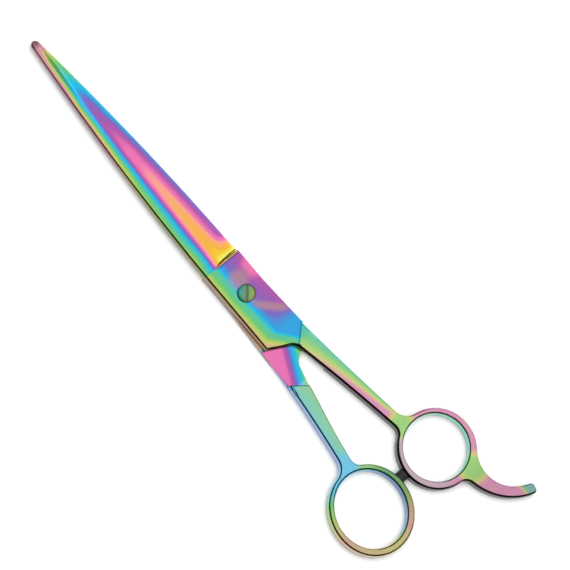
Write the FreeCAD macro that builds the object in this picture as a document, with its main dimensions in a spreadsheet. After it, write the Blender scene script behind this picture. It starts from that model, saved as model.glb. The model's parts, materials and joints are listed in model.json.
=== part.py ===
import FreeCAD, Part
import math
import os

from FreeCAD import Placement, Rotation, Vector

# Thinning shears, closed: a plain blade over a comb blade, turning on a slotted tension screw.
# Millimetres. The origin is on the pivot axis, on the plane that the shears lie on. +Z points up to the
# screw's head, +Y along the closed blades to the tip, and +X to the finger ring's side.
#
# Both halves are drawn in one upright frame, with the cutting edge and the handle on the +X side and the
# inner face downwards. The thumb half is then turned over about the Y axis, under the finger half.

SIZES = (
    # blades
    ("blade_length", 109.0, "pivot axis to the tip"),
    ("blade_heel", 12.8, "pivot axis to where the blades' grinding starts"),
    ("blade_half_width", 7.4, "half the width at the heel"),
    ("blade_bulge", 1.15, "how far each edge bows out from straight"),
    ("tip_half_width", 1.35, "half the width at the tip, before it is rounded"),
    ("tip_thickness", 1.3, "thickness of one blade at its tip"),
    ("spine_round", 1.2, "radius along the spine at the heel"),
    ("land_heel", 4.8, "flat land beside the spine, at the heel"),
    ("land_tip", 1.6, "the same at the tip"),
    ("hollow_sag", 0.28, "how deep the hollow grinding is under its chord"),
    ("bevel_heel", 2.0, "width of the bevel along the cutting edge, at the heel"),
    ("bevel_tip", 0.7, "the same at the tip"),
    ("bevel_rise", 0.6, "height of the bevel at the heel"),
    ("edge_thickness", 0.3, "what is left under the cutting edge's bevel"),
    # comb
    ("comb_inset", 0.9, "how far the teeth stop inside the plain blade's spine"),
    ("comb_edge_thickness", 0.7, "thickness of the teeth at their ends"),
    ("tooth_pitch", 1.95, "from one tooth to the next"),
    ("tooth_gap", 0.95, "width of the slot between two teeth"),
    ("tooth_share", 0.6, "tooth length as a share of the comb blade's width"),
    ("tooth_first", 16.0, "pivot axis to the middle of the first slot"),
    ("tooth_end", 4.5, "solid tip left beyond the last slot"),
    # joint plates
    ("plate_thickness", 2.4, "one joint plate"),
    ("plate_gap", 0.1, "running gap between the two plates"),
    ("plate_drop", 0.2, "how far the handles' faces lie under the plates' faces"),
    ("finger_corner", 18.7, "pivot axis to the finger plate's free corner"),
    ("thumb_corner", 23.7, "pivot axis to the thumb plate's free corner"),
    ("finger_crotch_x", 1.95, "where the finger plate's edge meets its shank, beside the pivot"),
    ("finger_crotch_y", 23.5, "the same, behind the pivot"),
    ("thumb_crotch_x", 0.96, "where the thumb plate's edge meets its shank, beside the pivot"),
    ("thumb_crotch_y", 28.1, "the same, behind the pivot"),
    ("crotch_reach", 2.0, "how far the crotch's rounding reaches along both edges"),
    # handles
    ("shank_outer_x", 8.5, "the shank's outer edge at the crease"),
    ("crease_step", 0.5, "how far behind the plate's corner the crease starts"),
    ("shoulder_x", 7.0, "middle of the half lap's shoulder beside the pivot"),
    ("shoulder_y", 34.0, "the same, behind the pivot"),
    ("shoulder_angle", 38.0, "degrees, slant of the shoulder"),
    ("waist_half_width", 2.5, "half the shank's width half way along"),
    ("neck_half_width", 2.1, "half the shank's width at the ring"),
    ("rim_round", 0.9, "radius along the edges of shanks, rings and finger rest"),
    ("finger_ring_x", 16.1, "finger ring's centre beside the pivot"),
    ("finger_ring_y", 79.5, "finger ring's centre behind the pivot"),
    ("finger_hole_radius", 11.3, "finger hole"),
    ("finger_ring_wall", 2.5, "mean width of the finger ring's band"),
    ("finger_ring_shift", 0.45, "how much more of the width is at the back than at the front"),
    ("finger_neck_angle", 108.0, "degrees, where the shank meets the finger ring"),
    ("thumb_ring_x", 14.8, "thumb ring's centre beside the pivot"),
    ("thumb_ring_y", 80.8, "thumb ring's centre behind the pivot"),
    ("thumb_hole_width", 24.2, "thumb hole, short way"),
    ("thumb_hole_length", 26.4, "thumb hole, long way"),
    ("thumb_ring_tilt", 16.0, "degrees from the Y axis to the thumb hole's long way"),
    ("thumb_ring_wall", 2.4, "mean width of the thumb ring's band"),
    ("thumb_ring_shift", 0.4, "how much more of the width is at the back than at the front"),
    ("thumb_neck_angle", 103.0, "degrees, where the shank meets the thumb ring"),
    ("neck_inner_round", 3.6, "blend between shank and ring, inner side"),
    ("neck_outer_round", 5.5, "blend between shank and ring, outer side"),
    # finger rest
    ("rest_root_width", 5.2, "finger rest's width at the ring"),
    ("rest_width", 4.2, "finger rest's width half way"),
    ("rest_end_width", 3.8, "finger rest's width at its end"),
    ("rest_angle", -70.0, "degrees, where the finger rest leaves the ring"),
    ("rest_middle_x", 6.9, "finger rest's middle beside the ring's centre"),
    ("rest_middle_y", 23.9, "the same, behind the ring's centre"),
    ("rest_end_x", 17.6, "finger rest's end beside the ring's centre"),
    ("rest_end_y", 31.5, "the same, behind the ring's centre"),
    ("rest_inner_round", 3.0, "blend between finger rest and ring, thumb side"),
    ("rest_outer_round", 12.0, "blend between finger rest and ring, outer side"),
    ("rest_end_round", 1.3, "radius of the finger rest's end corners"),
    # pivot
    ("pivot_radius", 2.0, "screw's plain shank"),
    ("pivot_clearance", 0.04, "running clearance on radius"),
    ("bush_wall", 0.5, "wall of the plastic sleeve"),
    ("head_overhang", 1.0, "how far the screw's head reaches past its plain shank"),
    ("head_height", 1.2, "screw head, to the top of its dome"),
    ("head_edge", 0.75, "height of the head's straight edge"),
    ("slot_width", 0.95, "screwdriver slot"),
    ("slot_depth", 0.6, "screwdriver slot"),
    ("slot_angle", 48.0, "degrees from +X to the slot at rest"),
    ("seat_depth", 0.7, "counterbore in the finger plate for washer and head"),
    ("seat_clearance", 0.3, "gap round the head in its counterbore"),
    ("washer_thickness", 0.2, "spring washer"),
    ("washer_dish", 0.1, "how far the spring washer is dished"),
    ("ride_radius", 5.5, "ride washer between the plates"),
    ("ride_depth", 0.2, "recess for the ride washer in the thumb plate"),
    ("thread_radius", 1.5, "screw's threaded end"),
    ("nut_radius", 3.4, "lock nut"),
    ("nut_thickness", 1.2, "lock nut"),
    ("nut_sink", 0.1, "how far the nut lies below the thumb plate's back"),
    ("nut_clearance", 0.05, "gap round the nut"),
    ("spanner_radius", 0.45, "the nut's two spanner holes"),
    ("spanner_offset", 2.4, "their distance from the axis"),
    # bumper
    ("bumper_ahead", 0.95, "how far the bumper is ahead of half way between the rings' centres"),
    ("bumper_radius", 2.0, "rubber pad"),
    ("bumper_sink", 0.5, "depth of the pad's seat in the thumb ring"),
    ("bumper_gap", 0.08, "gap left between the pad and the finger ring at rest"),
    ("stud_radius", 0.7, "stud that holds the pad"),
    ("stud_in_ring", 1.4, "stud's depth in the thumb ring"),
    ("stud_in_pad", 1.5, "stud's depth in the pad"),
)

doc = FreeCAD.newDocument("thinning_shears")
sheet = doc.addObject("Spreadsheet::Sheet", "Sizes")
for row, (alias, value, note) in enumerate(SIZES, start=1):
    sheet.set("A%d" % row, alias)
    sheet.set("B%d" % row, str(value))
    sheet.set("C%d" % row, note)
    sheet.setAlias("B%d" % row, alias)
doc.recompute()


def size(alias):
    """The value of a cell of the sheet."""
    return float(sheet.get(alias))


# Levels in the upright frame. stack is the height of both plates with the gap between them.
stack = 2 * size("plate_thickness") + size("plate_gap")
inner_face = size("plate_thickness") + size("plate_gap")
STACK = "(2 * Sizes.plate_thickness + Sizes.plate_gap)"
INNER_FACE = "(Sizes.plate_thickness + Sizes.plate_gap)"
HANDLE_HEIGHT = "(2 * Sizes.plate_thickness + Sizes.plate_gap - 2 * Sizes.plate_drop)"
CLEAR = 2.0  # how far cutting shapes reach past what they cut
NEAR = 0.3  # how near an edge lies to the point that names it


def bore_radius():
    """The finger plate's bore, which turns on the plastic sleeve."""
    return size("pivot_radius") + size("bush_wall") + 2 * size("pivot_clearance")


def head_radius():
    """The screw's head."""
    return size("pivot_radius") + size("head_overhang")


def seat_radius():
    """The counterbore round the screw's head."""
    return head_radius() + size("seat_clearance")


def polar(radius, degrees):
    """A point at this distance and direction from the origin, in the XY plane."""
    angle = math.radians(degrees)
    return Vector(radius * math.cos(angle), radius * math.sin(angle), 0)


def line(a, b):
    return Part.LineSegment(a, b)


def arc(a, b, c):
    return Part.ArcOfCircle(a, b, c)


def circle(centre, radius):
    return Part.Circle(centre, Vector(0, 0, 1), radius)


def crossings(curves, rim):
    """Where the arcs among these curves cross a rim, in order."""
    points = []
    for curve in curves:
        if isinstance(curve, Part.ArcOfCircle):
            points.extend(Vector(p.X, p.Y, 0) for p in curve.intersect(rim))
    return points


def blend(start, end, share):
    """The value this share of the way from start to end."""
    return start + (end - start) * share


# ---------------------------------------------------------------- helpers


def new_body(label):
    body = doc.addObject("PartDesign::Body", label)
    body.Label = label
    return body


def origin_plane(body, role):
    return [item for item in body.Origin.OriginFeatures if item.Role == role][0]


def add_sketch(body, name, curves, height="0", role="XY_Plane"):
    """A sketch of these curves, lifted along its plane's normal by an expression of the sheet."""
    sketch = body.newObject("Sketcher::SketchObject", name)
    sketch.AttachmentSupport = (origin_plane(body, role), [""])
    sketch.MapMode = "FlatFace"
    sketch.setExpression("AttachmentOffset.Base.z", height)
    sketch.addGeometry(list(curves), False)
    doc.recompute()
    return sketch


def add_pad(body, name, curves, height, length):
    """A pad upwards from the level height, both given as expressions of the sheet."""
    pad = body.newObject("PartDesign::Pad", name)
    pad.Profile = add_sketch(body, name + "_outline", curves, height)
    pad.setExpression("Length", length)
    doc.recompute()
    return pad


def add_pocket(body, name, curves, height, depth):
    """A pocket downwards from the level height, which must take some material away."""
    before = body.Shape.Volume
    sketch = add_sketch(body, name + "_outline", curves, height)
    pocket = body.newObject("PartDesign::Pocket", name)
    pocket.Profile = sketch
    pocket.setExpression("Length", depth)
    doc.recompute()
    if not pocket.Shape.Volume < before - 1e-6:
        raise RuntimeError(name + " cuts nothing")
    return pocket


def add_fillet(body, name, wanted, radius):
    """A fillet on the edges of the body's tip for which wanted(edge) is true."""
    base = body.Tip
    names = []
    for number, edge in enumerate(base.Shape.Edges, start=1):
        if wanted(edge):
            names.append("Edge%d" % number)
    if not names:
        raise RuntimeError(name + " finds no edge")
    fillet = body.newObject("PartDesign::Fillet", name)
    fillet.Base = (base, names)
    fillet.setExpression("Radius", radius)
    doc.recompute()
    return fillet


def middle(edge):
    return edge.valueAt(blend(edge.FirstParameter, edge.LastParameter, 0.5))


def upright_edge_near(point, reach):
    """Tells whether an edge is vertical and within this distance of a point, seen from above."""

    def wanted(edge):
        box = edge.BoundBox
        upright = box.XLength < 1e-3 and box.YLength < 1e-3 and box.ZLength > 1e-3
        return upright and math.hypot(box.XMin - point.x, box.YMin - point.y) < reach

    return wanted


# ---------------------------------------------------------------- blades


def half_width(y):
    """Half the blades' width at a distance from the pivot axis."""
    heel = size("blade_heel")
    share = (y - heel) / (size("blade_length") - heel)
    straight = blend(size("blade_half_width"), size("tip_half_width"), share)
    return straight + 4 * size("blade_bulge") * share * (1 - share)


def blade_section(y, comb):
    """Curves of a blade's cross-section in the XZ plane: spine left, cutting edge right."""
    heel = size("blade_heel")
    share = (y - heel) / (size("blade_length") - heel)
    spine = -half_width(y)
    edge = half_width(y) - (size("comb_inset") if comb else 0.0)
    low = inner_face
    top = low + blend(size("plate_thickness"), size("tip_thickness"), share)
    slimming = (top - low) / size("plate_thickness")
    rounding = size("spine_round") * slimming
    edge_thickness = size("comb_edge_thickness") if comb else size("edge_thickness")
    land = spine + blend(size("land_heel"), size("land_tip"), share)
    bevel = Vector(edge - blend(size("bevel_heel"), size("bevel_tip"), share),
                   low + edge_thickness + size("bevel_rise") * slimming ** 2, 0)
    hollow_start = Vector(land, top, 0)
    hollow_middle = (hollow_start + bevel) * 0.5 - Vector(0, size("hollow_sag") * slimming ** 2, 0)
    corner = Vector(spine + rounding, top - rounding, 0)
    return (
        line(Vector(edge, low, 0), Vector(spine, low, 0)),
        line(Vector(spine, low, 0), Vector(spine, corner.y, 0)),
        arc(Vector(spine, corner.y, 0), corner + polar(rounding, 135), Vector(corner.x, top, 0)),
        line(Vector(corner.x, top, 0), hollow_start),
        arc(hollow_start, hollow_middle, bevel),
        line(bevel, Vector(edge, low + edge_thickness, 0)),
        line(Vector(edge, low + edge_thickness, 0), Vector(edge, low, 0)),
    )


def add_blade(body, comb):
    """The ground blade, from its heel to the tip, as a loft through sections along Y."""
    sketches = []
    for number, share in enumerate((0.0, 0.25, 0.5, 0.75, 1.0)):
        y = blend(size("blade_heel"), size("blade_length"), share)
        height = "-(Sizes.blade_heel + (Sizes.blade_length - Sizes.blade_heel) * %g)" % share
        sketches.append(add_sketch(body, "blade_section_%d" % number, blade_section(y, comb), height, "XZ_Plane"))
    loft = body.newObject("PartDesign::AdditiveLoft", "blade")
    loft.Profile = sketches[0]
    loft.Sections = sketches[1:]
    doc.recompute()
    add_pocket(body, "tip_round", tip_outline(), STACK, "Sizes.plate_thickness")


def tip_outline():
    """Everything outside the blade's round tip, whose radius meets both edges."""
    length = size("blade_length")
    radius = size("tip_half_width")
    for _ in range(6):
        radius = half_width(length - radius)
    outside = radius + CLEAR
    points = [Vector(radius, length - radius, 0), Vector(outside, length - radius, 0),
              Vector(outside, length + CLEAR, 0), Vector(-outside, length + CLEAR, 0),
              Vector(-outside, length - radius, 0), Vector(-radius, length - radius, 0)]
    curves = [line(a, b) for a, b in zip(points, points[1:])]
    curves.append(arc(points[-1], Vector(0, length, 0), points[0]))
    return curves


def slot_outline(y):
    """Closed outline of one slot between two teeth: open at the teeth's ends, round at its root."""
    edge = half_width(y) - size("comb_inset")
    root = edge - size("tooth_share") * (edge + half_width(y))
    half_gap = size("tooth_gap") / 2
    centre = root + half_gap
    outside = half_width(size("blade_heel")) + CLEAR
    return (
        line(Vector(outside, y - half_gap, 0), Vector(outside, y + half_gap, 0)),
        line(Vector(outside, y + half_gap, 0), Vector(centre, y + half_gap, 0)),
        arc(Vector(centre, y + half_gap, 0), Vector(root, y, 0), Vector(centre, y - half_gap, 0)),
        line(Vector(centre, y - half_gap, 0), Vector(outside, y - half_gap, 0)),
    )


def add_teeth(body):
    """The slots that turn a plain blade into a comb."""
    curves = []
    y = size("tooth_first")
    while y < size("blade_length") - size("tooth_end"):
        curves.extend(slot_outline(y))
        y += size("tooth_pitch")
    add_pocket(body, "slots", curves, STACK, "Sizes.plate_thickness")


# ---------------------------------------------------------------- handles


def corner_arc(before, corner, after, reach):
    """An arc that rounds a corner, reaching this far along both of its sides."""
    start = corner + (before - corner).normalize() * reach
    end = corner + (after - corner).normalize() * reach
    inwards = ((start + end) * 0.5 - corner).normalize()
    half_angle = inwards.getAngle(start - corner)
    radius = reach * math.tan(half_angle)
    centre = corner + inwards * (reach / math.cos(half_angle))
    return arc(start, centre - inwards * radius, end)


class HalfPlan:
    """The seen-from-above points of one half, in the upright frame."""

    def __init__(self, name, ring_centre, band_radius):
        corner_y = size(name + "_corner")
        self.heel_outer = Vector(size("blade_half_width"), size("blade_heel"), 0)
        self.heel_spine = Vector(-size("blade_half_width"), size("blade_heel"), 0)
        self.side = Vector(size("blade_half_width"), 0, 0)
        self.corner = Vector(-size("blade_half_width"), -corner_y, 0)
        self.crotch = Vector(size(name + "_crotch_x"), -size(name + "_crotch_y"), 0)
        self.crease_outer = Vector(size("shank_outer_x"), -corner_y - size("crease_step"), 0)
        neck = ring_centre + polar(band_radius, size(name + "_neck_angle"))
        root = (self.crotch + self.crease_outer) * 0.5
        along = (neck - root).normalize()
        across = Vector(-along.y, along.x, 0)
        waist = (neck + root) * 0.5
        self.neck_inner = neck - across * size("neck_half_width")
        self.neck_outer = neck + across * size("neck_half_width")
        self.waist_inner = waist - across * size("waist_half_width")
        self.waist_outer = waist + across * size("waist_half_width")
        self.crotch_arc = corner_arc(self.corner, self.crotch, self.waist_inner, size("crotch_reach"))
        self.crease_inner = self.crotch_arc.EndPoint

    def shank(self):
        """Outline of the shank, from the crease across it to the middle of the ring's band."""
        return (
            line(self.crease_outer, self.crease_inner),
            arc(self.crease_inner, self.waist_inner, self.neck_inner),
            line(self.neck_inner, self.neck_outer),
            arc(self.neck_outer, self.waist_outer, self.crease_outer),
        )

    def plate(self):
        """Outline of the joint plate, from the blade's heel to the crease."""
        return (
            line(self.heel_outer, self.heel_spine),
            line(self.heel_spine, self.corner),
            line(self.corner, self.crotch_arc.StartPoint),
            self.crotch_arc,
            line(self.crease_inner, self.crease_outer),
            line(self.crease_outer, self.side),
            line(self.side, self.heel_outer),
        )


def lap_outline():
    """Everything on the pivot's side of the half lap's shoulder."""
    middle_point = Vector(size("shoulder_x"), -size("shoulder_y"), 0)
    sideways = polar(2 * size("shoulder_y"), size("shoulder_angle"))
    upwards = Vector(0, 2 * size("shoulder_y"), 0)
    a = middle_point - sideways
    b = middle_point + sideways
    return (line(a, b), line(b, b + upwards), line(b + upwards, a + upwards), line(a + upwards, a))


def rest_points():
    """Middle line of the finger rest, from the edge of the finger hole to its end."""
    centre = finger_ring_centre()
    start = centre + polar(size("finger_hole_radius"), size("rest_angle"))
    bend = centre + Vector(size("rest_middle_x"), -size("rest_middle_y"), 0)
    end = centre + Vector(size("rest_end_x"), -size("rest_end_y"), 0)
    return start, bend, end


def rest_outline():
    """A bowed strip whose width changes a little from the ring to its end."""
    start, bend, end = rest_points()
    middle_line = arc(start, bend, end)
    widths = (size("rest_root_width"), size("rest_width"), size("rest_end_width"))
    left, right = [], []
    for point, width in zip((start, bend, end), widths):
        outwards = (point - middle_line.Center).normalize() * (width / 2)
        left.append(point + outwards)
        right.append(point - outwards)
    return (
        arc(left[0], left[1], left[2]),
        line(left[2], right[2]),
        arc(right[2], right[1], right[0]),
        line(right[0], left[0]),
    )


def finger_ring_centre():
    return Vector(size("finger_ring_x"), -size("finger_ring_y"), 0)


def finger_band_radius():
    return size("finger_hole_radius") + size("finger_ring_wall") / 2


def thumb_ring_centre():
    return Vector(size("thumb_ring_x"), -size("thumb_ring_y"), 0)


def thumb_ellipse(wall, shift):
    """The thumb hole's outline, or with a wall and a shift the ring's outer one."""
    centre = thumb_ring_centre() - Vector(0, shift, 0)
    long_way = polar(size("thumb_hole_length") / 2 + wall, size("thumb_ring_tilt") - 90)
    short_way = polar(size("thumb_hole_width") / 2 + wall, size("thumb_ring_tilt"))
    return Part.Ellipse(centre + long_way, centre + short_way, centre)


def add_handle(body, name, plan, ring, hole, blends, rest=None):
    """Shank and ring, and the finger rest where there is one, rounded all along their rims."""
    add_pad(body, "shank", plan.shank(), "Sizes.plate_drop", HANDLE_HEIGHT)
    add_pad(body, "ring", [ring], "Sizes.plate_drop", HANDLE_HEIGHT)
    if rest:
        add_pad(body, "rest", rest, "Sizes.plate_drop", HANDLE_HEIGHT)
    for blend_name, point, reach, radius in blends:
        add_fillet(body, blend_name, upright_edge_near(point, reach), radius)
    add_pocket(body, "hole", [hole], STACK, STACK)
    crease_way = (plan.crease_outer - plan.crease_inner).normalize()
    levels = (size("plate_drop"), stack - size("plate_drop"))

    def on_rim(edge):
        box = edge.BoundBox
        level = any(abs(box.ZMin - height) < 1e-3 and abs(box.ZMax - height) < 1e-3 for height in levels)
        from_crease = middle(edge) - plan.crease_inner
        at_crease = abs(from_crease.x * crease_way.y - from_crease.y * crease_way.x) < 0.05
        return level and not at_crease

    thinnest = "0.46 * (Sizes.%s_ring_wall - Sizes.%s_ring_shift)" % (name, name)
    add_fillet(body, "rims", on_rim, "min(Sizes.rim_round; %s)" % thinnest)
    add_pocket(body, "lap", lap_outline(), INNER_FACE, STACK)


def add_plate(body, plan):
    """The joint plate, rounded along the spine's side and its free edge."""
    add_pad(body, "plate", plan.plate(), INNER_FACE, "Sizes.plate_thickness")
    spine = plan.heel_spine.x

    def on_free_edge(edge):
        box = edge.BoundBox
        top = box.ZMin > stack - 1e-3
        point = middle(edge)
        along_spine = abs(point.x - spine) < 1e-3
        heel = abs(point.y - plan.heel_outer.y) < 1e-3
        free_edge = min(box.YMin, point.y) < plan.corner.y + 1e-3 and box.XMax < plan.crease_inner.x + 1e-2
        return top and not heel and (along_spine or free_edge)

    add_fillet(body, "plate_edges", on_free_edge, "Sizes.spine_round")


# ---------------------------------------------------------------- the two halves


def join(label, bodies):
    """One forged piece out of overlapping or touching bodies."""
    fused = doc.addObject("Part::MultiFuse", label)
    fused.Label = label
    fused.Shapes = bodies
    fused.Refine = True
    doc.recompute()
    return fused


def neck_blends(plan, rim):
    inner, outer = crossings(plan.shank(), rim)
    return [
        ("neck_inner_blend", inner, NEAR, "Sizes.neck_inner_round"),
        ("neck_outer_blend", outer, NEAR, "Sizes.neck_outer_round"),
    ]


def make_finger_half():
    centre = finger_ring_centre()
    plan = HalfPlan("finger", centre, finger_band_radius())
    blade = new_body("finger_blade")
    add_plate(blade, plan)
    add_blade(blade, comb=False)
    add_pocket(blade, "bush_bore", [circle(Vector(), bore_radius())], STACK, STACK)
    add_pocket(blade, "head_seat", [circle(Vector(), seat_radius())], STACK, "Sizes.seat_depth")
    handle = new_body("finger_handle")
    rim_centre = centre - Vector(0, size("finger_ring_shift"), 0)
    rim = circle(rim_centre, size("finger_hole_radius") + size("finger_ring_wall"))
    hole = circle(centre, size("finger_hole_radius"))
    rest_inner, rest_outer = crossings(rest_outline(), rim)
    blends = neck_blends(plan, rim) + [
        ("rest_inner_blend", rest_inner, NEAR, "Sizes.rest_inner_round"),
        ("rest_outer_blend", rest_outer, NEAR, "Sizes.rest_outer_round"),
        ("rest_end_corners", rest_points()[2], size("rest_end_width"), "Sizes.rest_end_round"),
    ]
    add_handle(handle, "finger", plan, rim, hole, blends, rest_outline())
    return join("finger_half", [blade, handle])


def make_thumb_blank():
    """Drawn upright like the finger half, then turned over about the Y axis under it."""
    plan = HalfPlan("thumb", thumb_ring_centre(), (size("thumb_hole_length") + size("thumb_ring_wall")) / 2)
    blade = new_body("thumb_blade")
    add_plate(blade, plan)
    add_blade(blade, comb=True)
    add_teeth(blade)
    handle = new_body("thumb_handle")
    rim = thumb_ellipse(size("thumb_ring_wall"), size("thumb_ring_shift"))
    add_handle(handle, "thumb", plan, rim, thumb_ellipse(0.0, 0.0), neck_blends(plan, rim))
    blank = join("thumb_blank", [blade, handle])
    blank.Placement = Placement(Vector(0, 0, stack), Rotation(Vector(0, 1, 0), 180))
    return blank


def add_cylinder(name, radius, height, level="0", place="0", direction=Vector(0, 0, 1)):
    """A cylinder whose radius, height and level are expressions of the sheet."""
    cylinder = doc.addObject("Part::Cylinder", name)
    cylinder.setExpression("Radius", radius)
    cylinder.setExpression("Height", height)
    cylinder.Placement.Rotation = Rotation(Vector(0, 0, 1), direction)
    cylinder.setExpression("Placement.Base.z", level)
    cylinder.setExpression("Placement.Base.x", place)
    return cylinder


def add_cut(label, base, tools):
    """What is left of a base after cutting one or more tools out of it, one after the other."""
    for number, tool in enumerate(tools, start=1):
        cut = doc.addObject("Part::Cut", "%s_cut_%d" % (label, number))
        cut.Base = base
        cut.Tool = tool
        base = cut
    base.Label = label
    doc.recompute()
    return base


# ---------------------------------------------------------------- pivot


def add_revolution(label, points):
    """A body turned about the pivot axis from corner points given as radius and level."""
    body = new_body(label)
    corners = [Vector(radius, level, 0) for radius, level in points]
    curves = [line(a, b) for a, b in zip(corners, corners[1:] + corners[:1])]
    revolution = body.newObject("PartDesign::Revolution", label + "_turned")
    revolution.Profile = add_sketch(body, label + "_profile", curves, "0", "XZ_Plane")
    revolution.ReferenceAxis = (revolution.Profile[0], ["V_Axis"])
    revolution.Angle = 360
    doc.recompute()
    return body


def make_pivot_screw():
    """Domed, slotted head over a plain shank and a threaded end of smaller radius."""
    head = head_radius()
    shank = size("pivot_radius")
    thread = size("thread_radius")
    seat = stack - size("seat_depth") + size("washer_thickness") + size("washer_dish")
    shank_end = size("plate_thickness") - size("ride_depth")
    end = size("nut_sink")
    body = new_body("pivot_screw")
    edge_top = Vector(head, seat + size("head_edge"), 0)
    top = Vector(0, seat + size("head_height"), 0)
    rise = top.y - edge_top.y
    dome_radius = (head ** 2 + rise ** 2) / (2 * rise)
    half_angle = math.degrees(math.asin(head / dome_radius)) / 2
    dome_middle = Vector(0, top.y - dome_radius, 0) + polar(dome_radius, 90 - half_angle)
    corners = [Vector(0, end, 0), Vector(thread, end, 0), Vector(thread, shank_end, 0),
               Vector(shank, shank_end, 0), Vector(shank, seat, 0), Vector(head, seat, 0), edge_top]
    curves = [line(a, b) for a, b in zip(corners, corners[1:])]
    curves.append(arc(edge_top, dome_middle, top))
    curves.append(line(top, corners[0]))
    revolution = body.newObject("PartDesign::Revolution", "screw_turned")
    revolution.Profile = add_sketch(body, "screw_profile", curves, "0", "XZ_Plane")
    revolution.ReferenceAxis = (revolution.Profile[0], ["V_Axis"])
    revolution.Angle = 360
    doc.recompute()
    along = polar(head + CLEAR, size("slot_angle"))
    across = polar(size("slot_width") / 2, size("slot_angle") + 90)
    corners = [along + across, along - across, -along - across, -along + across]
    slot = [line(a, b) for a, b in zip(corners, corners[1:] + corners[:1])]
    head_top = "%s - Sizes.seat_depth + Sizes.washer_thickness + Sizes.washer_dish + Sizes.head_height" % STACK
    add_pocket(body, "slot", slot, head_top, "Sizes.slot_depth")
    return body


def make_spring_washer():
    """A dished washer between the finger plate's counterbore and the screw's head."""
    low = stack - size("seat_depth")
    thickness = size("washer_thickness")
    dish = size("washer_dish")
    inner = size("pivot_radius") + 2 * size("pivot_clearance")
    outer = head_radius() - size("seat_clearance") / 2
    points = ((inner, low + dish), (outer, low), (outer, low + thickness), (inner, low + dish + thickness))
    return add_revolution("spring_washer", points)


def make_pivot_bush():
    """The plastic sleeve that the finger half turns on."""
    outer = "Sizes.pivot_radius + Sizes.bush_wall + Sizes.pivot_clearance"
    height = "Sizes.plate_thickness - Sizes.seat_depth"
    sleeve = add_cylinder("bush_outside", outer, height, INNER_FACE)
    bore = add_cylinder("bush_inside", "Sizes.pivot_radius + Sizes.pivot_clearance", height, INNER_FACE)
    return add_cut("pivot_bush", sleeve, [bore])


def make_ride_washer():
    """A thin washer in the thumb plate's recess, which the finger plate slides on."""
    height = "Sizes.ride_depth + Sizes.plate_gap"
    level = "Sizes.plate_thickness - Sizes.ride_depth"
    disc = add_cylinder("ride_outside", "Sizes.ride_radius", height, level)
    bore = add_cylinder("ride_inside", "Sizes.pivot_radius + Sizes.pivot_clearance", height, level)
    return add_cut("ride_washer", disc, [bore])


def make_lock_nut():
    """A flush round nut in the thumb plate's back, turned with a two-pin spanner."""
    height = "Sizes.nut_thickness"
    level = "Sizes.nut_sink"
    disc = add_cylinder("nut_outside", "Sizes.nut_radius", height, level)
    tools = [add_cylinder("nut_thread", "Sizes.thread_radius + Sizes.pivot_clearance", height, level)]
    for side in ("", "-"):
        place = side + "Sizes.spanner_offset"
        tools.append(add_cylinder("spanner_hole", "Sizes.spanner_radius", height, level, place))
    return add_cut("lock_nut", disc, tools)


# ---------------------------------------------------------------- bumper


def bumper_y():
    """How far behind the pivot axis the bumper is."""
    return (size("finger_ring_y") + size("thumb_ring_y")) / 2 - size("bumper_ahead")


def surface_on_beam(shape, from_thumb_side, aside=0.0):
    """Where a beam along +X near the bumper first meets a shape, or leaves it for the last time."""
    far = size("finger_ring_x") + size("thumb_ring_x")
    start = Vector(-far if from_thumb_side else -size("bumper_radius"), aside - bumper_y(), stack / 2)
    end = Vector(size("bumper_radius") if from_thumb_side else far, aside - bumper_y(), stack / 2)
    box = shape.common(Part.makeLine(start, end)).BoundBox
    return box.XMax if from_thumb_side else box.XMin


def cut_shape(label, base, tool):
    """A finished piece from a piece and a cutting shape."""
    piece = doc.addObject("Part::Feature", label)
    piece.Label = label
    piece.Shape = base.Shape.cut(tool)
    return piece


def bar(radius, start, end):
    """A round bar along +X at the bumper's place."""
    return Part.makeCylinder(radius, end - start, Vector(start, -bumper_y(), stack / 2), Vector(1, 0, 0))


def make_bumper(thumb_blank, finger_half):
    """The rubber pad between the rings, the stud that holds it, and their seat in the thumb ring."""
    outside = surface_on_beam(thumb_blank.Shape, True)
    pad_edges = (-size("bumper_radius"), 0.0, size("bumper_radius"))
    facing = min(surface_on_beam(finger_half.Shape, False, aside) for aside in pad_edges)
    seat = outside - size("bumper_sink")
    stud_start = seat - size("stud_in_ring")
    stud_end = seat + size("stud_in_pad")
    stud = doc.addObject("Part::Feature", "bumper_stud")
    stud.Shape = bar(size("stud_radius"), stud_start, stud_end)
    pad = doc.addObject("Part::Feature", "bumper_pad")
    solid = bar(size("bumper_radius"), seat, facing - size("bumper_gap"))
    pad.Shape = solid.cut(stud.Shape)
    seat_cut = bar(size("bumper_radius"), seat, outside + CLEAR)
    return seat_cut.fuse(stud.Shape)


def make_thumb_half(blank, bumper_cut):
    """The thumb half: the turned-over blank with its screw hole, nut seat, washer seat and bumper seat."""
    back = -CLEAR
    screw_hole = Part.makeCylinder(size("thread_radius") + size("pivot_clearance"), stack, Vector(0, 0, back))
    nut_seat = Part.makeCylinder(size("nut_radius") + size("nut_clearance"),
                                 size("nut_thickness") + size("nut_sink") - back, Vector(0, 0, back))
    ride_seat = Part.makeCylinder(size("ride_radius") + size("nut_clearance"), stack,
                                  Vector(0, 0, size("plate_thickness") - size("ride_depth")))
    return cut_shape("thumb_half", blank, [screw_hole, nut_seat, ride_seat, bumper_cut])


finger_half = make_finger_half()
thumb_blank = make_thumb_blank()
bumper_cut = make_bumper(thumb_blank, finger_half)
make_thumb_half(thumb_blank, bumper_cut)
make_pivot_screw()
make_spring_washer()
make_pivot_bush()
make_ride_washer()
make_lock_nut()
doc.recompute()

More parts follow.
